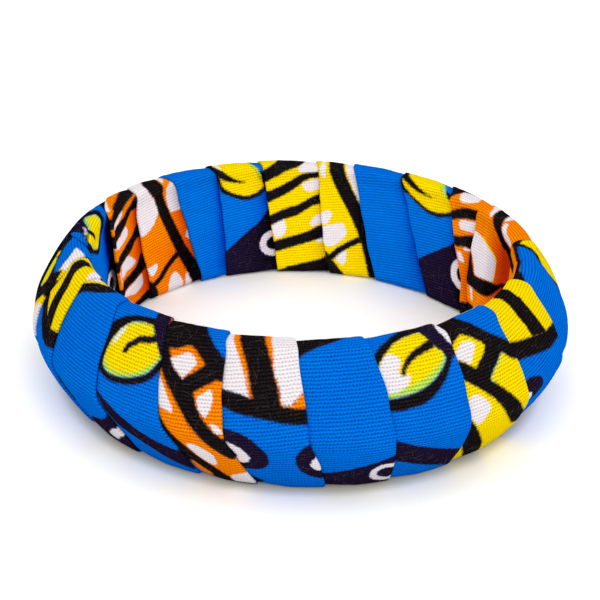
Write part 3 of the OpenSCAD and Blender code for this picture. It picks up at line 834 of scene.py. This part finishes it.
# Turn 1 lies in a hollow at the right end, darkened as painted shade: how dark, over which
# distances and angles
HOLLOW_SHADE = 0.75
HOLLOW_SPAN = (3, 8, 17.2, 20.2)
HOLLOW_ANGLES = (20, 7)
# Where the inks are painted brighter inside the hole, as painted light
HOLE_LIGHT_SPAN = (-1, 1, 17.5, 21.5)


def strip_columns(width):
    """Across a turn at each row: the distance of each column from the fold of the turn before,
    its depth below the top of the strip, the width of the flat part, and the columns that show."""
    steps = math.ceil(float(width.max()) / VISIBLE_STEP)
    roll = STRIP_T / 2
    bend = np.linspace(math.pi / 2, -math.pi / 2, ROLL_STEPS + 1)[1:]
    flat = width - roll
    tucked = np.array(TUCKED) + 0 * width
    x = np.concatenate([tucked, flat * np.linspace(0, 1, steps + 1), flat + roll * np.cos(bend),
                        flat * np.linspace(1, 0, UNDER_STEPS + 1)[1:], tucked[:, ::-1],
                        tucked[:, :1]], 1)
    below = np.concatenate([np.zeros(len(TUCKED) + steps + 1), roll * (1 - np.sin(bend)),
                            np.full(UNDER_STEPS + len(TUCKED), STRIP_T), [0]])
    return x, below, flat, range(len(TUCKED) + 1, len(TUCKED) + steps + 1)


def strip_height(turn, x, flat, s, middle):
    """Height of a turn's top side over the mean surface."""
    part = ramp(x, 0, flat)
    free = ramp(along(s, SECTION_Z), *FREE_Z)
    climb = 1 - (1 - part) ** CLIMB_POWER
    climb = climb + (1 - free) * (np.minimum(part * 2, 1) - climb)
    from_edge = flat - x
    crease = CREASE * ripple((x - CREASE_SLANT * s) / CREASE_WIDTH, s / CREASE_LENGTH + 0 * x,
                             turn * 3.7)
    sag = SAG * ripple(x / SAG_WIDTH, s / SAG_LENGTH + 0 * x, turn * 5.1 + 40)
    swell = (PADDING * np.sin(np.pi * part) + HEM * hump(from_edge, HEM_AT, HEM_REACH)
             + (crease + sag) * ramp(x, 0, LOOSE_FROM))
    proud = PROUD.get(turn, 0) * hump(from_edge, 0, PROUD_REACH) * span(s, PROUD_SPAN)
    step = STEP * (1 - RIM_STEP_LOSS * hump(s, RIM_AT, RIM_REACH))
    height = step * (climb - 0.5) - SINK * ramp(x, 0, -SINK_WITHIN) + swell * free + proud
    for far, place, reach in WIDER:
        height = height - far * hump((middle - place + 180) % 360 - 180, 0, reach) * span(
            s, WIDER_SPAN)
    return height


def strip_painted_light(turn, x, s, angle):
    """Painted shade in the pleats and in turn 1's hollow, and painted light that brightens the inks
    inside the hole, as the parts of a vector.
    """
    dark, wide = PLEAT_SHADE.get(turn, OTHER_PLEAT_SHADE)
    wide = wide * (1 + ramp(s, *PLEAT_WIDENS))
    # Painted shade: the cloth is darkened beside each fold inside the hole, and across turn 1's
    # hollow
    shade = dark * np.exp(-np.maximum(x, 0) / wide) * span(s, PLEAT_SPAN)
    if turn == 1:
        shade = np.maximum(shade, HOLLOW_SHADE * ramp(angle, *HOLLOW_ANGLES) * span(s, HOLLOW_SPAN))
    return np.stack([shade, span(s, HOLE_LIGHT_SPAN) + 0 * x, 0 * x], -1)


def strip_threads(turn, x, width, s):
    """Place of each point in the weave, and the turn, as the parts of a vector."""
    tilt = math.radians(THREAD_TILT.get(turn, MEAN_TILT + TILT_VARIES * math.sin(turn * 2.3)))
    across = x - width / 2
    return np.stack([across * math.cos(tilt) + s * math.sin(tilt) + THREAD_START,
                     s * math.cos(tilt) - across * math.sin(tilt) + THREAD_START,
                     np.full(x.shape, float(turn))], -1)


def strip_mesh(name, angle, height, layers):
    """A closed tube of cloth: a grid whose columns run once round the folded strip and whose
    rows follow it round the section, given by its angles and its heights over the mean surface."""
    rows, columns = angle.shape
    bm = bmesh.new()
    bmesh.ops.create_grid(bm, x_segments=columns - 1, y_segments=rows - 1, size=1)
    mesh = bpy.data.meshes.new(name)
    bm.to_mesh(mesh)
    bm.free()
    flat = np.zeros(len(mesh.vertices) * 3)
    mesh.vertices.foreach_get("co", flat)
    flat = flat.reshape(-1, 3)
    column = np.rint((flat[:, 0] + 1) / 2 * (columns - 1)).astype(int)
    row = np.rint((flat[:, 1] + 1) / 2 * (rows - 1)).astype(int)
    a = np.radians(angle[row, column])
    rise = height[row, column]
    radius = ROW_R[row] + along(ROW_S, NORMAL_R)[row] * rise
    z = np.maximum(along(ROW_S, SECTION_Z)[row] + along(ROW_S, NORMAL_Z)[row] * rise, LOWEST_Z)
    mesh.vertices.foreach_set("co", (np.stack([radius * np.cos(a), radius * np.sin(a), z], 1)
                                     * MM).ravel())
    for key, values in layers.items():
        layer = mesh.attributes.new(key, "FLOAT_VECTOR", "POINT")
        layer.data.foreach_set("vector", values[row, column].ravel())
    bm = bmesh.new()
    bm.from_mesh(mesh)
    bmesh.ops.remove_doubles(bm, verts=bm.verts, dist=WELD * MM)
    ends = [e for e in bm.edges if e.is_boundary]
    caps = bmesh.ops.holes_fill(bm, edges=ends, sides=0)["faces"]
    bmesh.ops.triangulate(bm, faces=caps)
    bmesh.ops.recalc_face_normals(bm, faces=bm.faces)
    for face in bm.faces:
        face.smooth = True
    bm.to_mesh(mesh)
    bm.free()
    return in_scene(name, mesh)


def wound_turn(turn, fibre_curve):
    """One turn of the strip, and how wide it lies: tucked under the turn before, low beside it,
    and climbing over the tucked edge of the next turn to its own rolled fold."""
    start, end = fold_line(turn - 1)[:, None], fold_line(turn)[:, None]
    r = ROW_R[:, None]
    s = ROW_S[:, None]
    width = np.radians(end - start) * r
    x, below, flat, showing = strip_columns(width)
    height = strip_height(turn, x, flat, s, (start + end) / 2) - below
    angle = start + np.degrees(x / r)
    inks = turn_print(turn, angle, s + 0 * x)
    layers = {"thread": strip_threads(turn, x, width, s), "painted_light": strip_painted_light(turn, x, s, angle),
              "ink_light": inks[..., :3], "ink_dark": inks[..., 3:]}
    piece = strip_mesh(f"cotton_turn_{turn:02d}", angle, height, layers)
    loose_fibres(turn, angle, height, inks, showing, fibre_curve)
    return piece, float(np.mean(width)) + LAP_W


# Fibres

FIBRES_A_TURN = 240
FIBRE_R = 0.009
FIBRE_POINTS = 5
# Between which bounds their lengths and their lifts off the cloth vary, and their bend in radians
FIBRE_LENGTHS = (0.6, 2.2)
FIBRE_LIFTS = (0.06, 0.32)
FIBRE_BEND = 1.6
# Height of a fibre's ends over the cloth, and its lowest height above the ground
FIBRE_FOOT = 0.02
FIBRE_LOWEST_Z = 0.05
# Rows at either end of a turn that have none, and how deep inside a dark ink they must be
BARE_ROWS = 6
FIBRE_INK_DEPTH = 0.1


def loose_fibres(turn, angle, height, inks, columns, curve):
    """Short cotton fibres worked loose from a turn, which show pale against its dark inks."""
    pick = random.Random(turn)
    dark = inks[..., BLACK:].max(axis=-1)
    for _ in range(FIBRES_A_TURN):
        row, column = pick.randrange(BARE_ROWS, ROWS - BARE_ROWS), pick.choice(columns)
        run, length = pick.uniform(0, 2 * math.pi), pick.uniform(*FIBRE_LENGTHS)
        bend, lift = pick.uniform(-FIBRE_BEND, FIBRE_BEND), pick.uniform(*FIBRE_LIFTS)
        if dark[row, column] < FIBRE_INK_DEPTH:
            continue
        s, a, base = float(ROW_S[row]), float(angle[row, column]), float(height[row, column])
        step = length / (FIBRE_POINTS - 1)
        spline = curve.splines.new("POLY")
        spline.points.add(FIBRE_POINTS - 1)
        for k, point in enumerate(spline.points):
            t = k / (FIBRE_POINTS - 1)
            radius, z, normal_r, normal_z = (
                float(along(s, values)) for values in (SECTION_R, SECTION_Z, NORMAL_R, NORMAL_Z))
            rise = base + FIBRE_FOOT + lift * math.sin(math.pi * t)
            r = radius + normal_r * rise
            point.co = (r * math.cos(math.radians(a)) * MM, r * math.sin(math.radians(a)) * MM,
                        max(z + normal_z * rise, FIBRE_LOWEST_Z) * MM, 1)
            point.radius = 1 - 0.5 * t
            turned = run + bend * t
            s += math.sin(turned) * step
            a += math.degrees(math.cos(turned) * step / radius)


def fibre_piece(curve):
    """The fibres as one mesh of closed tubes."""
    curve.dimensions = "3D"
    curve.bevel_depth = FIBRE_R * MM
    curve.bevel_resolution = 0
    curve.use_fill_caps = True
    holder = in_scene("loose_fibres_curve", curve)
    graph = bpy.context.evaluated_depsgraph_get()
    mesh = bpy.data.meshes.new_from_object(holder.evaluated_get(graph))
    bpy.data.objects.remove(holder)
    return in_scene("loose_fibres", mesh)


# Materials

def linear(colour):
    """An sRGB hex colour as linear RGBA."""
    parts = [int(colour[i:i + 2], 16) / 255 for i in (1, 3, 5)]
    return [c / 12.92 if c <= 0.04045 else ((c + 0.055) / 1.055) ** 2.4 for c in parts] + [1]


def add(tree, kind, inputs=None, **settings):
    """A new node with its settings, and its inputs linked or set."""
    node = tree.nodes.new(kind)
    for key, value in settings.items():
        setattr(node, key, value)
    for key, value in (inputs or {}).items():
        if isinstance(value, bpy.types.NodeSocket):
            tree.links.new(value, node.inputs[key])
        else:
            node.inputs[key].default_value = value
    return node


def calc(tree, operation, *values):
    """A math node's result."""
    return add(tree, "ShaderNodeMath", dict(enumerate(values)), operation=operation).outputs[0]


def faded(tree, value, none, full, curve="LINEAR"):
    """0 up to one value and 1 from another on."""
    return add(tree, "ShaderNodeMapRange", {"Value": value, "From Min": none, "From Max": full},
               interpolation_type=curve).outputs[0]


def mixed(tree, factor, a, b, blend="MIX"):
    """Colour a with b laid over it."""
    return add(tree, "ShaderNodeMix", {0: factor, 6: a, 7: b}, data_type="RGBA",
               blend_type=blend).outputs[2]


def new_material(name):
    """An empty material and its node tree."""
    material = bpy.data.materials.new(name)
    material.use_nodes = True
    material.node_tree.nodes.clear()
    return material, material.node_tree


def finish_surface(tree, inputs):
    """A principled surface with these inputs, led to the material's output."""
    surface = add(tree, "ShaderNodeBsdfPrincipled", inputs)
    add(tree, "ShaderNodeOutputMaterial", {"Surface": surface.outputs[0]})


def attribute(tree, name):
    """A vector attribute of the mesh."""
    return add(tree, "ShaderNodeAttribute", attribute_name=name).outputs["Vector"]


def parts(tree, vector):
    """The three parts of a vector."""
    return list(add(tree, "ShaderNodeSeparateXYZ", {0: vector}).outputs)


def cloud(tree, place, scale, detail, **inputs):
    """Soft noise, as the outputs of its node."""
    return add(tree, "ShaderNodeTexNoise", {"Vector": place, "Scale": scale, "Detail": detail,
                                            **inputs}).outputs


def speckle(tree, inputs, **settings):
    """Noise that jumps from each place to the next."""
    return add(tree, "ShaderNodeTexWhiteNoise", inputs, **settings).outputs["Value"]


# Weave of the cotton, drawn a little coarse so that it shows: spacing of the picks and of the
# ends, how far they wander, and how far a row of ends slips against the next
PICK = 0.5
END = 0.235
END_WANDER, PICK_WANDER = 0.35, 0.30
END_SLIP = 1.1
# How sharp the groove between picks and the dashes in it are, and how deep the groove stays
# between the dashes
GROOVE_SHARP, DASH_SHARP, GROOVE_SHARE = 5.0, 1.5, 0.2
# Height of the weave with its threads' crowns, and depth of its pits
CROWN, CROWN_RISE, PIT_DEPTH = 0.95, 0.05, 0.8
# How far the fuzz and the threads' uneven take-up of ink roughen a printed edge
FUZZ_ROUGH, TAKE_UP_ROUGH = 0.36, 0.14


def plain_weave(tree, thread, sway):
    """Depth of the pits and height of the threads, and how much ink each thread takes up. The
    threads are never quite straight or even."""
    number = partial(calc, tree)
    across, down, _ = parts(tree, thread)
    u = number("MULTIPLY_ADD", number("SUBTRACT", sway[0], 0.5), END_WANDER, across)
    v = number("MULTIPLY_ADD", number("SUBTRACT", sway[1], 0.5), PICK_WANDER, down)
    v = number("DIVIDE", v, PICK)
    groove_count = number("FLOOR", number("ADD", v, 0.5))
    slip = speckle(tree, {"W": groove_count}, noise_dimensions="1D")
    u = number("MULTIPLY_ADD", slip, END_SLIP, number("DIVIDE", u, END))

    # Rows of picks with a groove between them; the ends show in the groove as dark dashes, which
    # sit half a spacing further on in every other groove
    wave = number("ABSOLUTE", number("COSINE", number("MULTIPLY", v, math.pi)))
    groove = number("POWER", wave, GROOVE_SHARP)
    dash = number("SINE", number("MULTIPLY", number("ADD", u, groove_count), math.pi))
    dash = number("POWER", number("MULTIPLY_ADD", dash, 0.5, 0.5), DASH_SHARP)
    pit = number("MULTIPLY", groove, number(
        "MULTIPLY_ADD", dash, 1 - GROOVE_SHARE, GROOVE_SHARE))
    crown = number("SINE", number("MULTIPLY", number("ADD", u, number("FLOOR", v)), math.pi))
    weave = number("MULTIPLY_ADD", crown, CROWN_RISE,
                   number("SUBTRACT", CROWN, number("MULTIPLY", pit, PIT_DEPTH)))
    crossing = add(tree, "ShaderNodeCombineXYZ", {0: number("FLOOR", u), 1: number("FLOOR", v)})
    take_up = number("SUBTRACT", speckle(tree, {"Vector": crossing.outputs[0]}), 0.5)
    return pit, weave, take_up


def laid_inks(tree, thread, ragged):
    """Colour of the print, and the share of each ink in it: the blue ground varies a little, and
    the inks lie on it in their order."""
    colour = mixed(tree, cloud(tree, thread, 0.22, 2.0)["Fac"], linear("#0052b8"),
                   linear("#005dc4"))
    depths = parts(tree, attribute(tree, "ink_light")) + parts(tree, attribute(tree, "ink_dark"))
    share = {}
    for depth, (ink, (ink_colour, spread, rough, soft)) in zip(depths, INK_LOOKS.items()):
        edge = calc(tree, "ADD", calc(tree, "MULTIPLY_ADD", ragged, rough, depth), spread)
        share[ink] = faded(tree, edge, -soft, soft, "SMOOTHSTEP")
        colour = mixed(tree, share[ink], colour, linear(ink_colour))
    return colour, share


def printed_cotton():
    """Plain-weave cotton, wax printed: matt, with pinholes between its threads, inks that stop
    raggedly at the threads, and a bloom of loose pale fibres that shows on the dark inks."""
    material, tree = new_material("wax_printed_plain_weave_cotton")
    number = partial(calc, tree)

    def over(share, colour, tint, blend):
        """A colour with a tint blended into a share of it."""
        return mixed(tree, share, colour, mixed(tree, 1.0, colour, linear(tint), blend))

    thread = attribute(tree, "thread")
    sway = add(tree, "ShaderNodeSeparateColor", {0: cloud(tree, thread, 1.1, 3.0)["Color"]}).outputs
    pit, weave, take_up = plain_weave(tree, thread, sway)
    fuzz = cloud(tree, thread, 7.0, 3.0, Roughness=0.6)["Fac"]
    grain = number("SUBTRACT", fuzz, 0.5)
    ragged = number("MULTIPLY_ADD", grain, FUZZ_ROUGH, number("MULTIPLY", take_up, TAKE_UP_ROUGH))
    colour, share = laid_inks(tree, thread, ragged)

    # Painted light: the inks are painted brighter inside the hole than outside, and in the pleats
    # they are darkened as painted shade
    shade, painted_hole_light, _ = parts(tree, attribute(tree, "painted_light"))
    colour = add(tree, "ShaderNodeHueSaturation", {
        "Value": number("MULTIPLY_ADD", painted_hole_light, 0.47, 0.95), "Color": colour}).outputs[0]
    colour = add(tree, "ShaderNodeGamma", {
        0: colour, 1: number("MULTIPLY_ADD", shade, 1.1, 1.0)}).outputs[0]
    colour = over(number("MULTIPLY", shade, 0.9), colour, "#5a4a46", "MULTIPLY")
    # Pinholes are deep in shade, and less so where the ink is white
    deep = number("MULTIPLY", number("ADD", sway[2], 0.15),
                  number("MULTIPLY_ADD", share["white"], -0.3, 1.0))
    colour = over(number("MULTIPLY", pit, deep), colour, "#7c6862", "MULTIPLY")
    # The threads' crests catch the light
    crest = faded(tree, weave, 0.82, 1.0)
    colour = over(number("MULTIPLY", crest, 0.2), colour, "#e0e0e0", "DODGE")
    # Lint shows on the dark inks, and their crests are paler: partly worn, partly a painted
    # highlight
    inky = number("MAXIMUM", share["black"], share["aubergine"])
    lint = number("MULTIPLY", number("MULTIPLY", faded(tree, fuzz, 0.56, 0.74), inky), 0.1)
    colour = mixed(tree, lint, colour, linear("#6a6468"))
    worn_and_lit_crests = number("MULTIPLY", number("MULTIPLY", crest, inky), number("ADD", take_up, 0.5))
    colour = mixed(tree, number("MULTIPLY", worn_and_lit_crests, 0.03), colour, linear("#8a8286"))

    relief = number("MULTIPLY_ADD", grain, 0.35, weave)
    bump = add(tree, "ShaderNodeBump", {"Height": relief, "Strength": 0.4, "Distance": 0.12 * MM})
    finish_surface(tree, {"Base Color": colour, "Roughness": 0.95, "Specular IOR Level": 0.0,
                          "Normal": bump.outputs[0]})
    return material


def fibre_cotton():
    """Bare cotton fibre, off-white and matt: a pale thread wherever it lies over a dark ink."""
    material, tree = new_material("loose_cotton_fibre")
    finish_surface(tree, {"Base Color": linear("#625c58"), "Roughness": 0.9,
                          "Specular IOR Level": 0.1})
    return material


def turned_beech():
    """Turned beech: pale, fine brown flecks along the grain, sanded and unfinished."""
    material, tree = new_material("sanded_beech")
    place = add(tree, "ShaderNodeTexCoord").outputs["Object"]
    long_grain = add(tree, "ShaderNodeMapping", {"Vector": place, "Scale": (400, 400, 1600)})
    flecks = add(tree, "ShaderNodeTexNoise", {"Vector": long_grain.outputs[0], "Scale": 1.0,
                                              "Detail": 4.0}).outputs["Fac"]
    bump = add(tree, "ShaderNodeBump", {"Height": flecks, "Strength": 0.2, "Distance": 0.1 * MM})
    colour = mixed(tree, flecks, linear("#a9784a"), linear("#d9b384"))
    finish_surface(tree, {"Base Color": colour, "Roughness": 0.7, "Normal": bump.outputs[0]})
    return material


# Radii of the floor that shows inside the hole, and of the narrow ring of painted shadow outside
# the foot
FLOOR_HOLE_R = 35
FLOOR_SHADOW_RING_R = (37.3, 39.9)


def plain_floor():
    """Warm white acrylic, matt and faintly lit from below. A narrow ring along the outside of
    the bangle's foot is painted greyer, as painted contact shadow."""
    material, tree = new_material("white_acrylic")
    place = add(tree, "ShaderNodeTexCoord").outputs["Object"]
    reach = add(tree, "ShaderNodeVectorMath", {0: place}, operation="LENGTH").outputs["Value"]
    outside = faded(tree, reach, *(r * MM for r in FLOOR_SHADOW_RING_R), "SMOOTHSTEP")
    in_hole = calc(tree, "LESS_THAN", reach, FLOOR_HOLE_R * MM)
    unshaded = calc(tree, "MAXIMUM", outside, in_hole)
    # Painted shadow: the floor's colour is greyer in the ring just outside the foot
    colour = mixed(tree, unshaded, linear("#c8c4b5"), linear("#fbfaf6"))
    finish_surface(tree, {"Base Color": colour, "Roughness": 1.0, "Specular IOR Level": 0.0,
                          "Emission Color": linear("#ffffff"), "Emission Strength": 0.05})
    return material


# Camera, floor and light

CAMERA_DISTANCE = 198
CAMERA_ELEVATION = 26.2
CAMERA_ROLL = 1.66
CAMERA_LENS = 74.2
CAMERA_SHIFT = (-0.002, -0.0015)
CAMERA_SEES = (5, 20000)
AIM = Vector((0, 0, HEIGHT / 2 * MM))
FLOOR_HALF_WIDTH = 3000
# Place and width in metres, and power in watts
SOFTBOXES = {
    "right softbox": ((0.35, -0.62, 0.42), 0.40, 1.5),
    "left softbox": ((-0.40, -0.55, 0.45), 0.40, 0.5),
}
# The world's light from the horizon, and from the height on (1 is overhead) where it is strongest
HORIZON_LIGHT = 0.66
SKY_LIGHT = 1.37
SKY_FROM = 0.7


def aimed(place):
    """The rotation that turns a camera or a lamp at a place towards the bangle."""
    return (AIM - place).to_track_quat("-Z", "Y")


def set_camera():
    """The camera, in front and above, with a slight roll."""
    up = math.radians(CAMERA_ELEVATION)
    camera = in_scene("camera", bpy.data.cameras.new("camera"))
    camera.location = AIM + Vector((0, -math.cos(up), math.sin(up))) * CAMERA_DISTANCE * MM
    roll = Matrix.Rotation(math.radians(CAMERA_ROLL), 3, "Z")
    camera.rotation_euler = (aimed(camera.location).to_matrix() @ roll).to_euler()
    camera.data.sensor_width = 36
    camera.data.lens = CAMERA_LENS
    camera.data.shift_x, camera.data.shift_y = CAMERA_SHIFT
    camera.data.clip_start, camera.data.clip_end = (d * MM for d in CAMERA_SEES)
    bpy.context.scene.camera = camera


def set_floor():
    """A plain square to lie on."""
    bm = bmesh.new()
    bmesh.ops.create_grid(bm, x_segments=1, y_segments=1, size=FLOOR_HALF_WIDTH * MM)
    mesh = bpy.data.meshes.new("floor")
    bm.to_mesh(mesh)
    bm.free()
    floor = in_scene("floor", mesh)
    floor.data.materials.append(plain_floor())


def set_light():
    """Two softboxes, and white light on all sides that is stronger overhead, so that the ground
    is darker where it touches."""
    for name, (place, size, power) in SOFTBOXES.items():
        light = bpy.data.lights.new(name, "AREA")
        light.energy = power
        light.size = size
        lamp = in_scene(name, light)
        lamp.location = place
        lamp.rotation_euler = aimed(Vector(place)).to_euler()
    world = bpy.data.worlds.new("world")
    world.use_nodes = True
    tree = world.node_tree
    direction = add(tree, "ShaderNodeSeparateXYZ", {
        0: add(tree, "ShaderNodeTexCoord").outputs["Generated"]})
    strength = add(tree, "ShaderNodeMapRange", {
        "Value": direction.outputs[2], "From Min": 0.0, "From Max": SKY_FROM,
        "To Min": HORIZON_LIGHT, "To Max": SKY_LIGHT})
    tree.nodes["Background"].inputs["Color"].default_value = (1, 1, 1, 1)
    tree.links.new(strength.outputs[0], tree.nodes["Background"].inputs["Strength"])
    bpy.context.scene.world = world
    bpy.context.scene.view_settings.view_transform = "Standard"


# Building

set_camera()
set_floor()
set_light()

cotton = printed_cotton()
fibre_curve = bpy.data.curves.new("loose_fibres", "CURVE")
for turn in range(1, TURNS + 1):
    piece, laid_width = wound_turn(turn, fibre_curve)
    piece.data.materials.append(cotton)
    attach(piece, "root")
    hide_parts(f"wrap_{turn:02d}")

fuzz = fibre_piece(fibre_curve)
fuzz.data.materials.append(fibre_cotton())
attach(fuzz, "root")

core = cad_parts["core_ring"]
core.data.materials.clear()
core.data.materials.append(turned_beech())
